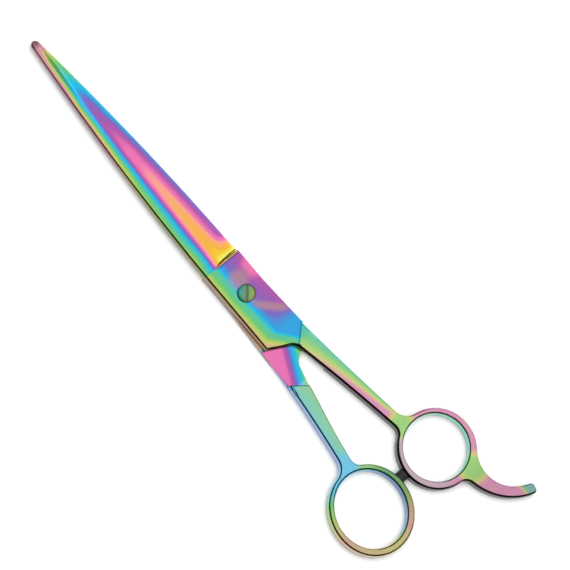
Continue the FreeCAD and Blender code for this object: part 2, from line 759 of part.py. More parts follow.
PARTS = ("finger_half", "thumb_half", "pivot_screw", "spring_washer", "pivot_bush",
         "ride_washer", "lock_nut", "bumper_pad", "bumper_stud")
for item in doc.Objects:
    if "Invalid" in item.State or "Error" in item.State:
        raise RuntimeError(item.Label + " has failed")
os.makedirs("parts", exist_ok=True)
for label in PARTS:
    shape = doc.getObjectsByLabel(label)[0].Shape
    if shape.isNull() or not shape.isValid() or not shape.Solids:
        raise RuntimeError(label + " has no valid solid")
    shape.exportStep("parts/" + label + ".step")
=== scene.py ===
import json
import math

import bpy
import numpy
from mathutils import Matrix, Vector

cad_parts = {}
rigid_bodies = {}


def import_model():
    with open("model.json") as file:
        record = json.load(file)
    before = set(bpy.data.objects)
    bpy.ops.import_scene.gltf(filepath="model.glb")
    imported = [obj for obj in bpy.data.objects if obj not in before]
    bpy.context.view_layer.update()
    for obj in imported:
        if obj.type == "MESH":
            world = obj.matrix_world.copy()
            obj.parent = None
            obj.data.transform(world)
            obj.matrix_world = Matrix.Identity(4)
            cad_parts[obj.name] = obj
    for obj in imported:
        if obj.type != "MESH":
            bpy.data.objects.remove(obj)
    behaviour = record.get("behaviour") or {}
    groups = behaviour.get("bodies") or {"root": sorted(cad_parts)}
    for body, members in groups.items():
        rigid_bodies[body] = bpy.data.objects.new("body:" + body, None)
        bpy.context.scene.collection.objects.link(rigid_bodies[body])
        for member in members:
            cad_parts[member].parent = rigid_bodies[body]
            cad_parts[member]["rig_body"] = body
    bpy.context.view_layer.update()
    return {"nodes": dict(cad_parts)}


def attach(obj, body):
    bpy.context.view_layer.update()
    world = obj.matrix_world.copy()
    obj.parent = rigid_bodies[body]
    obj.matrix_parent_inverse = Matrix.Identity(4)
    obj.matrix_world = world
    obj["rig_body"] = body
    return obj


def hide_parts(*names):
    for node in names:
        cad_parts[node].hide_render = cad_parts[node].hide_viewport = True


# Thinning shears with a polished rainbow finish, closed on a pale studio floor.
# Metres, in the CAD model's frame: +Y to the tip, +X to the finger ring, +Z up to the screw head.

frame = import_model()

MM = 0.001
NODES = frame["nodes"]
SAME_POINT = 0.001 * MM
SHARP = math.radians(28)  # edges turned by more than this stay sharp


# ---------------------------------------------------------------- mesh helpers


def deselect_all():
    if bpy.context.object and bpy.context.object.mode != "OBJECT":
        bpy.ops.object.mode_set(mode="OBJECT")
    bpy.ops.object.select_all(action="DESELECT")


def pick(obj):
    deselect_all()
    obj.select_set(True)
    bpy.context.view_layer.objects.active = obj


def edit(obj):
    """Opens a piece in edit mode with all of its mesh selected."""
    pick(obj)
    bpy.ops.object.mode_set(mode="EDIT")
    bpy.ops.mesh.select_all(action="SELECT")


def leave():
    bpy.ops.object.mode_set(mode="OBJECT")


def apply_modifiers(obj):
    pick(obj)
    for modifier in list(obj.modifiers):
        bpy.ops.object.modifier_apply(modifier=modifier.name)


def edit_selected(obj):
    """Opens a piece in edit mode with the faces that are already marked."""
    pick(obj)
    bpy.ops.object.mode_set(mode="EDIT")
    bpy.ops.mesh.select_mode(type="FACE")


def clear_lengths(obj, start, end, above=-1.0):
    """Cuts a length out of a piece between two places along Y, above a level, and leaves it open there."""
    edit(obj)
    for place, way in (((0, start, 0), (0, 1, 0)), ((0, end, 0), (0, 1, 0)), ((0, 0, above), (0, 0, 1))):
        bpy.ops.mesh.select_all(action="SELECT")
        bpy.ops.mesh.bisect(plane_co=Vector(place) * MM, plane_no=way, threshold=SAME_POINT)
    bpy.ops.mesh.select_all(action="DESELECT")
    leave()
    low, high = sorted((start * MM, end * MM))
    for face in obj.data.polygons:
        face.select = low < face.center.y < high and face.center.z > above * MM
    edit_selected(obj)
    bpy.ops.mesh.delete(type="FACE")
    leave()


def add_loft(obj, sections, close_end=False, open_below=False):
    """Joins a skin through a row of sections, all with as many points, on to a piece."""
    count = len(sections[0])
    points = [point for section in sections for point in section]
    faces = []
    for row in range(len(sections) - 1):
        for index in range(count - 1 if open_below else count):
            after = (index + 1) % count
            low, high = row * count, (row + 1) * count
            faces.append((low + index, low + after, high + after, high + index))
    if close_end:
        faces.append(tuple(range((len(sections) - 1) * count, len(sections) * count)))
    mesh = bpy.data.meshes.new("skin")
    mesh.from_pydata([Vector(point) * MM for point in points], [], faces)
    skin = bpy.data.objects.new("skin", mesh)
    bpy.context.scene.collection.objects.link(skin)
    edit(skin)
    bpy.ops.mesh.remove_doubles(threshold=SAME_POINT)
    leave()
    pick(obj)
    skin.select_set(True)
    bpy.ops.object.join()


def corner_points(centre_x, centre_z, radius, first):
    """Points round a quarter circle in the XZ plane, from the angle first on, clockwise from above +X."""
    turns = [math.radians(first - 90 * step / 8) for step in range(9)]
    return [(centre_x + radius * math.cos(turn), centre_z + radius * math.sin(turn)) for turn in turns]


SHANK_LOW, SHANK_HIGH, SHANK_ROUND = 0.2, 4.7, 0.9
LAP_LEVEL = 3.0  # over the half lap, a shank is skinned anew only above this level
OUTSIDE = 80  # beside both rings


def wall_places(node, y):
    """Where a handle's two side walls are, above the half lap."""
    found = []
    for side in (-1, 1):
        start = Vector((side * OUTSIDE, y, LAP_LEVEL + 0.4)) * MM
        place = NODES[node].ray_cast(start, Vector((-side, 0, 0)))[1]
        found.append(place.x / MM)
    return found


def shank_outline(x_left, x_right, whole):
    """The shank's rounded outline, or only its upper part over the half lap."""
    left, right = x_left + SHANK_ROUND, x_right - SHANK_ROUND
    low, high = SHANK_LOW + SHANK_ROUND, SHANK_HIGH - SHANK_ROUND
    upper = corner_points(left, high, SHANK_ROUND, 180) + corner_points(right, high, SHANK_ROUND, 90)
    if not whole:
        return [(x_left, LAP_LEVEL)] + upper + [(x_right, LAP_LEVEL)]
    return upper + corner_points(right, low, SHANK_ROUND, 0) + corner_points(left, low, SHANK_ROUND, -90)


def reskin_shank(obj, node, start, lap_end, end):
    """Evenly faceted shank in place of the CAD model's long thin facets, through the same walls."""
    measured = numpy.linspace(start, end, 30)
    walls = numpy.array([wall_places(node, y) for y in measured])
    curves = [numpy.polyfit(measured, walls[:, side], 3) for side in (0, 1)]
    for first, last, whole in ((start, lap_end, False), (lap_end, end, True)):
        if first == last:
            continue
        sections = []
        for y in numpy.linspace(first, last, 16):
            outline = shank_outline(*(numpy.polyval(curve, y) for curve in curves), whole)
            sections.append([(x, y, z) for x, z in outline])
        clear_lengths(obj, first, last, -1.0 if whole else LAP_LEVEL)
        add_loft(obj, sections, open_below=not whole)


def soften_edges(obj, width):
    """Breaks the sharp edges as polishing does, and weights the normals so that flats stay flat."""
    if width:
        bevel = obj.modifiers.new("broken_edges", "BEVEL")
        bevel.width = width
        bevel.segments = 2
        bevel.limit_method = "ANGLE"
        bevel.angle_limit = SHARP
        bevel.use_clamp_overlap = True
    weighted = obj.modifiers.new("weighted_normals", "WEIGHTED_NORMAL")
    weighted.mode = "FACE_AREA_WITH_ANGLE"
    weighted.keep_sharp = True
    apply_modifiers(obj)


BLADE_HEEL, BLADE_TIP = 12.8, 109.0
INNER_FACE = 2.5
TIP_ROUND = 1.5
RUN_OUT = 1.3  # length of the curve in which the hollow grinding comes up at the heel


def across(heel, tip, share):
    """A size that runs evenly from its value at the heel to the one at the tip."""
    return heel + (tip - heel) * share


def blade_section(y):
    """The plain blade's outline at one place: spine, land, hollow, bevel, cutting edge and inner face."""
    share = (y - BLADE_HEEL) / (BLADE_TIP - BLADE_HEEL)
    full = across(7.4, 1.35, share) + 1.15 * 4 * share * (1 - share)
    from_tip = max(y - (BLADE_TIP - TIP_ROUND), 0.0)
    half = min(full, math.sqrt(max(TIP_ROUND ** 2 - from_tip ** 2, 0.0)) + 0.02) if from_tip else full
    narrow = half / full
    thickness = across(2.4, 1.3, share)
    top = INNER_FACE + thickness
    slim = thickness / 2.4
    rounding = 1.2 * slim * narrow
    land = -half + across(4.8, 1.6, share) * narrow
    edge_top = INNER_FACE + 0.3
    bevel_x = half - across(2.0, 0.7, share) * narrow
    bevel_z = edge_top + 0.6 * slim ** 2
    outline = [(-half, INNER_FACE)] + corner_points(-half + rounding, top - rounding, rounding, 180)
    span = bevel_x - land
    sag = 0.28 * slim ** 2
    start = min(max((y - BLADE_HEEL) / RUN_OUT, 0.0), 1.0)
    depth = math.sqrt(1 - (1 - start) ** 2)
    for step in range(21):
        part = step / 20
        hollow = across(top, bevel_z, part) - 4 * sag * part * (1 - part)
        outline.append((land + span * part, across(top, hollow, depth)))
    outline.append((half, across(top, edge_top, depth)))
    outline.append((half, INNER_FACE))
    return [(x, y, z) for x, z in outline]


def reskin_blade(obj, node, heel, tip):
    """Evenly faceted plain blade in place of the CAD model's, with the hollow's curved end at the heel."""
    clear_lengths(obj, heel + 0.01, tip + 1)
    run_out = [heel + RUN_OUT * (step / 14) ** 2 for step in range(14)]
    length = list(numpy.linspace(heel + RUN_OUT, tip - TIP_ROUND, 70))
    end = [tip - TIP_ROUND + TIP_ROUND * math.sin(math.radians(90 * step / 10)) for step in range(1, 11)]
    add_loft(obj, [blade_section(y) for y in run_out + length + end], close_end=True)


def polished_copy(node, name, edge_width, reskin=()):
    """A clean copy of a CAD node: merged, some lengths skinned anew, its edges broken, its normals smooth."""
    source = NODES[node]
    obj = bpy.data.objects.new(name, source.data.copy())
    bpy.context.scene.collection.objects.link(obj)
    obj.data.materials.clear()
    edit(obj)
    bpy.ops.mesh.remove_doubles(threshold=2 * SAME_POINT)
    leave()
    for skin, *places in reskin:
        skin(obj, node, *places)
    pick(obj)
    bpy.ops.mesh.customdata_custom_splitnormals_clear()
    pick(obj)
    bpy.ops.object.shade_smooth_by_angle(angle=SHARP)
    soften_edges(obj, edge_width)
    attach(obj, source["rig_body"])
    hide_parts(node)
    return obj


# ---------------------------------------------------------------- node helpers


class Value:
    """A number that varies over a surface, with arithmetic that adds Math nodes to a tree."""

    def __init__(self, tree, socket):
        self.tree = tree
        self.socket = socket

    def _math(self, operation, *others, clamp=False):
        node = self.tree.nodes.new("ShaderNodeMath")
        node.operation = operation
        node.use_clamp = clamp
        self.tree.links.new(self.socket, node.inputs[0])
        for index, other in enumerate(others, start=1):
            if isinstance(other, Value):
                self.tree.links.new(other.socket, node.inputs[index])
            else:
                node.inputs[index].default_value = other
        return Value(self.tree, node.outputs[0])

    def __add__(self, other):
        return self._math("ADD", other)

    def __sub__(self, other):
        return self._math("SUBTRACT", other)

    def __rsub__(self, other):
        return self * -1 + other

    def __mul__(self, other):
        return self._math("MULTIPLY", other)

    def __truediv__(self, other):
        return self._math("DIVIDE", other)

    __radd__ = __add__
    __rmul__ = __mul__

    def size(self):
        return self._math("ABSOLUTE")

    def at_least(self, other):
        return self._math("MAXIMUM", other)

    def at_most(self, other):
        return self._math("MINIMUM", other)

    def angle_to(self, x):
        """The direction of the point (x, self), in radians."""
        return self._math("ARCTAN2", x)

    def root(self):
        return self._math("SQRT")

    def fraction(self):
        return self._math("FRACT")

    def step(self, start, end):
        """0 at start, 1 at end, with a smooth change between."""
        node = self.tree.nodes.new("ShaderNodeMapRange")
        node.interpolation_type = "SMOOTHSTEP"
        self.tree.links.new(self.socket, node.inputs["Value"])
        node.inputs["From Min"].default_value = start
        node.inputs["From Max"].default_value = end
        return Value(self.tree, node.outputs["Result"])

    def ramp(self, points):
        """A number read off a line through (input, output) points, which fill the range 0 to 1."""
        node = self.tree.nodes.new("ShaderNodeValToRGB")
        elements = node.color_ramp.elements
        elements[0].position, elements[1].position = points[0][0], points[-1][0]
        for position, _ in points[1:-1]:
            elements.new(position)
        for element, (_, value) in zip(elements, points):
            element.color = (value, value, value, 1)
        self.tree.links.new(self.socket, node.inputs["Fac"])
        return Value(self.tree, node.outputs["Color"])


def mix(a, b, share):
    """a where share is 0, b where it is 1."""
    return a + (b - a) * share


def place_values(tree, scale=1 / MM):
    """Object coordinates in millimetres and the surface's normal, each as three values."""
    coords = tree.nodes.new("ShaderNodeTexCoord")
    found = []
    for output, factor in (("Object", scale), ("Normal", 1.0)):
        split = tree.nodes.new("ShaderNodeSeparateXYZ")
        tree.links.new(coords.outputs[output], split.inputs[0])
        found.append([Value(tree, split.outputs[axis]) * factor for axis in range(3)])
    return found


# ---------------------------------------------------------------- rainbow finish and painted shade

# The colours of the oxide film as it gets thicker, in sRGB.
FILM_COLOURS = (
    (0.00, (0.94, 0.93, 0.40)),
    (0.04, (0.93, 0.80, 0.24)),
    (0.09, (0.95, 0.70, 0.25)),
    (0.16, (0.96, 0.68, 0.38)),
    (0.22, (0.97, 0.64, 0.54)),
    (0.28, (0.93, 0.47, 0.69)),
    (0.34, (0.87, 0.43, 0.68)),
    (0.40, (0.70, 0.36, 0.65)),
    (0.46, (0.61, 0.37, 0.68)),
    (0.52, (0.45, 0.44, 0.76)),
    (0.58, (0.24, 0.60, 0.84)),
    (0.63, (0.17, 0.72, 0.91)),
    (0.68, (0.16, 0.74, 0.82)),
    (0.74, (0.34, 0.76, 0.66)),
    (0.80, (0.44, 0.77, 0.46)),
    (0.86, (0.63, 0.81, 0.38)),
    (0.91, (0.80, 0.77, 0.46)),
    (0.95, (0.84, 0.66, 0.55)),
    (1.00, (0.82, 0.52, 0.68)),
)


def linear(colour):
    """An sRGB colour as the linear one that shaders take."""
    return tuple(c / 12.92 if c <= 0.04045 else ((c + 0.055) / 1.055) ** 2.4 for c in colour)


def new_group(name, inputs, outputs):
    """An empty node group, with (name, kind, value) inputs and (name, kind) outputs."""
    group = bpy.data.node_groups.new(name, "ShaderNodeTree")
    for label, kind, value in inputs:
        socket = group.interface.new_socket(label, in_out="INPUT", socket_type=kind)
        socket.default_value = value
    for label, kind in outputs:
        group.interface.new_socket(label, in_out="OUTPUT", socket_type=kind)
    return group, group.nodes.new("NodeGroupInput"), group.nodes.new("NodeGroupOutput")


def film_and_shade_group():
    """Film thickness in, colour out. Haze makes it a brownish mauve, pale washes it out, shade darkens it as
    painted shade.
    """
    group, start, end = new_group(
        "oxide_film_and_painted_shade",
        (("Thickness", "NodeSocketFloat", 0.5), ("Shade", "NodeSocketFloat", 1.0),
         ("Haze", "NodeSocketFloat", 0.0), ("Pale", "NodeSocketFloat", 0.0)),
        (("Colour", "NodeSocketColor"),))
    ramp = group.nodes.new("ShaderNodeValToRGB")
    elements = ramp.color_ramp.elements
    elements[0].position, elements[1].position = FILM_COLOURS[0][0], FILM_COLOURS[-1][0]
    for position, _ in FILM_COLOURS[1:-1]:
        elements.new(position)
    for element, (_, colour) in zip(elements, FILM_COLOURS):
        element.color = (*linear(colour), 1)
    hazed = group.nodes.new("ShaderNodeMix")
    hazed.data_type = "RGBA"
    hazed.inputs["B"].default_value = (*linear((0.70, 0.53, 0.57)), 1)
    washed = group.nodes.new("ShaderNodeMix")
    washed.data_type = "RGBA"
    washed.inputs["B"].default_value = (*linear((0.86, 0.86, 0.86)), 1)
    shaded = group.nodes.new("ShaderNodeVectorMath")
    shaded.operation = "SCALE"
    link = group.links.new
    link(start.outputs["Thickness"], ramp.inputs["Fac"])
    link(start.outputs["Haze"], hazed.inputs["Factor"])
    link(ramp.outputs["Color"], hazed.inputs["A"])
    link(start.outputs["Pale"], washed.inputs["Factor"])
    link(hazed.outputs["Result"], washed.inputs["A"])
    link(washed.outputs["Result"], shaded.inputs[0])
    link(start.outputs["Shade"], shaded.inputs["Scale"])
    link(shaded.outputs["Vector"], end.inputs["Colour"])
    return group


def polish_group():
    """Fine buffing marks: a roughness, a height for bump, and a slow wander for the film's thickness."""
    group, start, end = new_group(
        "buffed_metal",
        (("Across", "NodeSocketFloat", 2600.0), ("Along", "NodeSocketFloat", 60.0),
         ("Roughness", "NodeSocketFloat", 0.15)),
        (("Roughness", "NodeSocketFloat"), ("Height", "NodeSocketFloat"), ("Wander", "NodeSocketFloat")))
    coords = group.nodes.new("ShaderNodeTexCoord")
    split = group.nodes.new("ShaderNodeSeparateXYZ")
    joined = group.nodes.new("ShaderNodeCombineXYZ")
    link = group.links.new
    link(coords.outputs["Object"], split.inputs[0])
    across = Value(group, split.outputs[0]) * Value(group, start.outputs["Across"])
    along = Value(group, split.outputs[1]) * Value(group, start.outputs["Along"])
    height = Value(group, split.outputs[2]) * Value(group, start.outputs["Across"])
    for index, value in enumerate((across, along, height)):
        link(value.socket, joined.inputs[index])
    marks = group.nodes.new("ShaderNodeTexNoise")
    marks.inputs["Scale"].default_value = 1.0
    marks.inputs["Detail"].default_value = 3.0
    link(joined.outputs[0], marks.inputs["Vector"])
    clouds = group.nodes.new("ShaderNodeTexNoise")
    clouds.inputs["Scale"].default_value = 110.0
    clouds.inputs["Detail"].default_value = 2.0
    link(coords.outputs["Object"], clouds.inputs["Vector"])
    mark = Value(group, marks.outputs["Fac"])
    cloud = Value(group, clouds.outputs["Fac"])
    rough = Value(group, start.outputs["Roughness"]) * (mark.step(0.35, 0.75) * 0.35 + cloud * 0.6 + 0.6)
    link(rough.socket, end.inputs["Roughness"])
    link(mark.socket, end.inputs["Height"])
    link((cloud - 0.5).socket, end.inputs["Wander"])
    return group


FILM_AND_SHADE = film_and_shade_group()
POLISH = polish_group()


def new_material(name, roughness, metallic=0.0):
    material = bpy.data.materials.new(name)
    material.use_nodes = True
    shader = material.node_tree.nodes["Principled BSDF"]
    shader.inputs["Roughness"].default_value = roughness
    shader.inputs["Metallic"].default_value = metallic
    return material, material.node_tree, shader


def add_group(tree, group, **values):
    node = tree.nodes.new("ShaderNodeGroup")
    node.node_tree = group
    for label, value in values.items():
        node.inputs[label.capitalize()].default_value = value
    return node


def add_bump(tree, shader, height, strength, distance):
    bump = tree.nodes.new("ShaderNodeBump")
    bump.inputs["Strength"].default_value = strength
    bump.inputs["Distance"].default_value = distance
    tree.links.new(height, bump.inputs["Height"])
    tree.links.new(bump.outputs["Normal"], shader.inputs["Normal"])


def film_material(name, film_and_shade_of, roughness=0.13, wander=0.045):
    """Buffed steel under an oxide film, whose thickness, painted shade, haze and paleness film_and_shade_of
    works out from place and normal.
    """
    material, tree, shader = new_material(name, roughness, 1.0)
    place, normal = place_values(tree)
    thickness, shade, haze, pale = film_and_shade_of(place, normal)
    polish = add_group(tree, POLISH, roughness=roughness)
    film = add_group(tree, FILM_AND_SHADE)
    thickness = thickness + Value(tree, polish.outputs["Wander"]) * wander
    for value, label in ((thickness, "Thickness"), (shade, "Shade"), (haze, "Haze"), (pale, "Pale")):
        if isinstance(value, Value):
            tree.links.new(value.socket, film.inputs[label])
        else:
            film.inputs[label].default_value = value
    tree.links.new(film.outputs["Colour"], shader.inputs["Base Color"])
    tree.links.new(polish.outputs["Roughness"], shader.inputs["Roughness"])
    add_bump(tree, shader, polish.outputs["Height"], 0.12, 0.004 * MM)
    return material


def along_blade(y):
    """The film down the middle of the blades: yellow at the heel, then pink, blue and green to the tip."""
    return (y * (1 / 110)).ramp(
        ((0.0, 0.0), (0.13, 0.0), (0.145, 0.04), (0.18, 0.095), (0.23, 0.12), (0.32, 0.165), (0.41, 0.205),
         (0.46, 0.235), (0.50, 0.27), (0.545, 0.29), (0.59, 0.35), (0.64, 0.39), (0.68, 0.45), (0.73, 0.48),
         (0.755, 0.51), (0.78, 0.56), (0.81, 0.63), (0.836, 0.69), (0.864, 0.735), (0.90, 0.80),
         (0.92, 0.85), (0.94, 0.90), (0.955, 0.955), (1.0, 1.0)))


def blade_film(x, y):
    """Across the blade the film gets thicker to both sides, faster towards the spine."""
    spine_side = (x * -1 + 1).at_least(0) * (1 / 8)
    edge_side = (x - 1).at_least(0) * (1 / 8)
    to_spine = spine_side.ramp(
        ((0.0, 0.0), (0.125, 0.015), (0.25, 0.10), (0.375, 0.27), (0.40, 0.31), (0.50, 0.42), (0.625, 0.55),
         (0.75, 0.61), (1.0, 0.72)))
    to_edge = edge_side.ramp(
        ((0.0, 0.0), (0.125, 0.02), (0.25, 0.09), (0.375, 0.17), (0.5, 0.25), (0.625, 0.32), (1.0, 0.5)))
    near_heel = y.step(30.0, 13.0) * (x * -1).step(2.0, 3.6)
    return (along_blade(y) + to_spine * (near_heel * 0.18 + 1) + to_edge * y.step(13.5, 22.0)).at_most(0.97)


def plate_film(x, y):
    """Joint plate: green along the spine, blue in the middle, purple beside the cutting edge."""
    behind = (y * -1).at_least(0)
    slide = x - behind * 0.06 - (behind - 16).at_least(0) * 0.75
    field = (slide * (1 / 16) + 0.5).ramp(
        ((0.0, 0.94), (0.09, 0.90), (0.15, 0.84), (0.21, 0.79), (0.27, 0.765), (0.33, 0.74), (0.375, 0.66),
         (0.41, 0.60), (0.50, 0.545), (0.56, 0.50), (0.66, 0.475), (0.80, 0.455), (0.90, 0.42), (1.0, 0.38)))
    flush = x.step(2.5, 5.5) * y.step(0.0, 5.0) * y.step(11.0, 7.5)
    field = field - flush * 0.12
    return mix(field, field.at_least(0.59), behind.step(9.0, 17.0))


def plate_haze(x, y):
    """Where the plate's colours turn brownish: over the screw, and in a slanted band under it."""
    over = (x - 1.4) * (1 / 4.6)
    up = (y - 5.2) * (1 / 4.2)
    patch = (over * over + up * up).root().step(1.1, 0.35)
    slant = (x + y + 4.8).size().step(3.0, 0.6) * x.step(-1.8, 1.0) * y.step(-14.0, -11.0)
    return (patch + slant).at_most(1.0) * 0.8


def distance_to(x, y, place):
    off_x, off_y = x - place[0], y - place[1]
    return (off_x * off_x + off_y * off_y).root()


FINGER_RING = (16.1, -79.5)
THUMB_RING = (-14.8, -80.8)


def beside_line(x, y, place, angle):
    """How far a point is from the line through a place at an angle in degrees, on its left."""
    turn = math.radians(angle)
    return (y - place[1]) * math.cos(turn) - (x - place[0]) * math.sin(turn)


def inverse(mask):
    """One where a mask is nought, and nought where it is one."""
    return mask * -1 + 1


def finger_film_and_shade(place, normal):
    """The finger half's film: blade, joint plate, shank, ring and finger rest, then walls and dark edges in
    painted shade.
    """
    x, y, _ = place
    behind = y * -1
    share = (behind - 24) * (1 / 36)
    from_right = ((behind - 24) * 0.145 + 8.1 - x).at_least(0)
    shank = (share * 0.03 + 0.735) + from_right * (share * 0.07 + 0.025).at_least(0.02)
    to_forks = distance_to(x, y, (11.4, -66.2)).at_most(distance_to(x, y, (21.2, -92.6)))
    ring = to_forks.step(2.6, 7.0) * 0.16 + 0.84
    handle = mix(shank.at_most(1.0), ring, behind.step(58, 64))
    crease = beside_line(x, y, (2.2, -24.3), 41.6)
    handle = mix(handle, handle * 0 + 0.60, crease.size().step(0.55, 0.15))
    blade = mix(plate_film(x, y), blade_film(x, y), y.step(12.3, 12.7))
    thickness = mix(blade, handle, crease.step(0.3, -0.6))

    wall = normal[2].size().step(0.80, 0.30)
    facing = (normal[0] * -1).step(0.06, 0.38)
    in_handle = behind.step(22, 25)
    in_hole = distance_to(x, y, FINGER_RING).step(12.7, 12.1)
    thickness = mix(thickness, thickness * 0 + 0.735, wall * in_hole)
    # Painted shade on the ring's left part: darkened below, and washed paler towards grey.
    on_ring_left = x.step(15.0, 8.0) * behind.step(67, 72)
    # The finger rest's end: a teal film, with painted shade and a paler wash below.
    rest_end = x.step(28.5, 31.5) * in_handle
    thickness = mix(thickness, thickness * 0 + 0.72, rest_end)
    # Painted shade: handle faces turned towards -X, outside the ring's hole, are darkened almost to black.
    painted_shade_side = facing * in_handle * inverse(in_hole)
    # Painted shade: the walls of the plate and blades, outside the handle, are darkened here and tinted
    # brownish mauve by the haze below.
    shade = inverse(painted_shade_side * 0.94) * inverse(wall * inverse(in_handle) * 0.45)
    # Painted shade: the last few millimetres towards the tip are darkened.
    shade = shade * inverse(y.step(105.5, 108.0) * 0.6)
    shade = shade * inverse(on_ring_left * 0.25) * inverse(rest_end * 0.25)
    # Painted shade: a dark line along the crease at the end of the joint plate.
    shade = shade * inverse(crease.size().step(0.5, 0.1) * 0.4)
    # Painted shade: a dark line across the heel, where the hollow comes up to the plate.
    shade = shade * inverse((y - 12.3).size().step(0.6, 0.1) * x.step(-3.0, -1.5) * 0.4)
    # Painted shade: the lower end of the ring is darkened a little.
    shade = shade * inverse(behind.step(88, 96) * 0.15)
    # The wall term in haze tints the painted shade on the plate and blade walls brownish.
    haze = plate_haze(x, y) * inverse(in_handle) + wall * inverse(in_handle) * 0.5
    pale = in_handle * 0.12 + on_ring_left * 0.45 + rest_end * 0.25
    return thickness, shade, haze.at_most(1.0), pale


def thumb_film_and_shade(place, normal):
    """The thumb half's film: the lap's recess, shank and ring, under the same plate and blade, then painted
    shade on its sides, walls, ring and shoulder step.
    """
    x, y, _ = place
    behind = y * -1
    to_crotch = (behind - 27) * -0.5 - 1 - x
    recess = (to_crotch * -0.075 + 0.65).at_least(0.31) + x.step(-8.0, -9.4) * 0.13
    left_edge = (behind - 36) * -0.14 - 11.0
    shank = (x - left_edge).at_least(0) * 0.018 + 0.675
    fork = distance_to(x, y, (-12.6, -65.0)).step(7.0, 2.5)
    shank = mix(shank, shank * 0 + 0.645, fork)
    round_ring = (y - THUMB_RING[1]).angle_to(x - THUMB_RING[0]) * (1 / math.tau) + (1 - 100 / 360)
    ring = round_ring.fraction().ramp(
        ((0.0, 0.65), (0.05, 0.70), (0.09, 0.79), (0.14, 0.85), (0.20, 0.91), (0.26, 0.945), (0.35, 0.93),
         (0.47, 0.905), (0.55, 0.95), (0.62, 0.94), (0.70, 0.83), (0.80, 0.81), (0.88, 0.84), (0.95, 0.74),
         (1.0, 0.65)))
    shoulder = beside_line(x, y, (-7.0, -34.0), -38)
    handle = mix(recess, shank, shoulder.step(0.15, -0.25))
    handle = mix(handle, ring, behind.step(64, 69) * inverse(fork))
    blade = mix(plate_film(x, y), blade_film(x * -1, y), y.step(12.2, 12.9))
    thickness = mix(blade, handle, behind.step(17, 19))

    wall = normal[2].size().step(0.85, 0.35)
    facing = (normal[0] * -1).step(0.0, 0.6)
    in_hole = distance_to(x, y, THUMB_RING).step(13.6, 12.8)
    in_shank = behind.step(24, 27) * behind.step(66, 62)
    in_plate = behind.step(25, 22)
    thickness = mix(thickness, thickness * 0 + 0.555, wall * facing * (in_shank + in_hole).at_most(1.0))
    # Painted shade: faces turned towards -X, other than walls and the ring's hole, are darkened.
    edge = (normal[0] * -1).step(0.15, 0.45) * inverse(wall) * inverse(in_hole)
    # Painted shade: the ring is darkened a little, and its right side more.
    round_side = behind.step(66, 72)
    # Painted shade: the plate's walls are darkened, and tinted brownish mauve by the haze returned below.
    shade = inverse(edge * 0.55) * inverse(wall * in_plate * 0.4) * inverse(round_side * 0.18)
    shade = shade * inverse((x - THUMB_RING[0]).step(8.0, 13.5) * round_side * 0.3)
    # Painted shade: a dark line along the shoulder step of the half lap.
    shade = shade * inverse(shoulder.size().step(0.45, 0.1) * behind.step(30, 31) * 0.8)
    pale = behind.step(33.8, 34.6) * 0.22 * inverse(round_side * 0.5)
    return thickness, shade, wall * in_plate * 0.5, pale


def screw_film_and_shade(place, normal):
    x, y, z = place
    in_slot = beside_line(x, y, (0, 0), 48.0).size().step(0.55, 0.40) * z.step(4.9, 5.1)
    thickness = x * 0.02 + y * -0.03 + 0.80
    # The whole head is darkened to 0.62; painted shade darkens its rim and its slot further, and the slot is
    # tinted brownish.
    shade = inverse(distance_to(x, y, (0, 0)).step(2.2, 2.9) * 0.5) * 0.62 * inverse(in_slot * 0.25)
    return thickness, shade, in_slot * 0.7, 0.1


finger_steel = film_material("rainbow_finger_steel", finger_film_and_shade)
thumb_steel = film_material("rainbow_thumb_steel", thumb_film_and_shade)
screw_steel = film_material("rainbow_screw_steel", screw_film_and_shade, 0.22)


def rubber_material():
    """Moulded black rubber, faintly pitted."""
    material, tree, shader = new_material("black_rubber", 0.5)
    coords = tree.nodes.new("ShaderNodeTexCoord")
    pits = tree.nodes.new("ShaderNodeTexNoise")
    pits.inputs["Scale"].default_value = 4200.0
    pits.inputs["Detail"].default_value = 4.0
    tree.links.new(coords.outputs["Object"], pits.inputs["Vector"])
    pit = Value(tree, pits.outputs["Fac"])
    tint = tree.nodes.new("ShaderNodeValToRGB")
    tint.color_ramp.elements[0].color = (0.006, 0.006, 0.007, 1)
    tint.color_ramp.elements[1].color = (0.022, 0.022, 0.024, 1)
    tree.links.new(pit.socket, tint.inputs["Fac"])
    tree.links.new(tint.outputs["Color"], shader.inputs["Base Color"])
    tree.links.new((pit * 0.35 + 0.4).socket, shader.inputs["Roughness"])
    add_bump(tree, shader, pit.socket, 0.35, 0.03 * MM)
    return material


def turned_material(name, dark, light, roughness, metallic, rings_per_metre):
    """Something turned on a lathe: faint rings round the pivot axis in its colour, gloss and surface."""
    material, tree, shader = new_material(name, roughness, metallic)
    place, _ = place_values(tree, 1.0)
    radius = (place[0] * place[0] + place[1] * place[1]).root()
    joined = tree.nodes.new("ShaderNodeCombineXYZ")
    tree.links.new((radius * rings_per_metre).socket, joined.inputs[0])
    tree.links.new((place[2] * rings_per_metre).socket, joined.inputs[1])
    rings = tree.nodes.new("ShaderNodeTexNoise")
    rings.inputs["Scale"].default_value = 1.0
    rings.inputs["Detail"].default_value = 2.0
    tree.links.new(joined.outputs[0], rings.inputs["Vector"])
    ring = Value(tree, rings.outputs["Fac"])
    tint = tree.nodes.new("ShaderNodeValToRGB")
    tint.color_ramp.elements[0].color = (*dark, 1)
    tint.color_ramp.elements[1].color = (*light, 1)
    tree.links.new(ring.socket, tint.inputs["Fac"])
    tree.links.new(tint.outputs["Color"], shader.inputs["Base Color"])
    tree.links.new((ring * 0.25 + (roughness - 0.12)).socket, shader.inputs["Roughness"])
    add_bump(tree, shader, ring.socket, 0.2, 0.01 * MM)
    return material


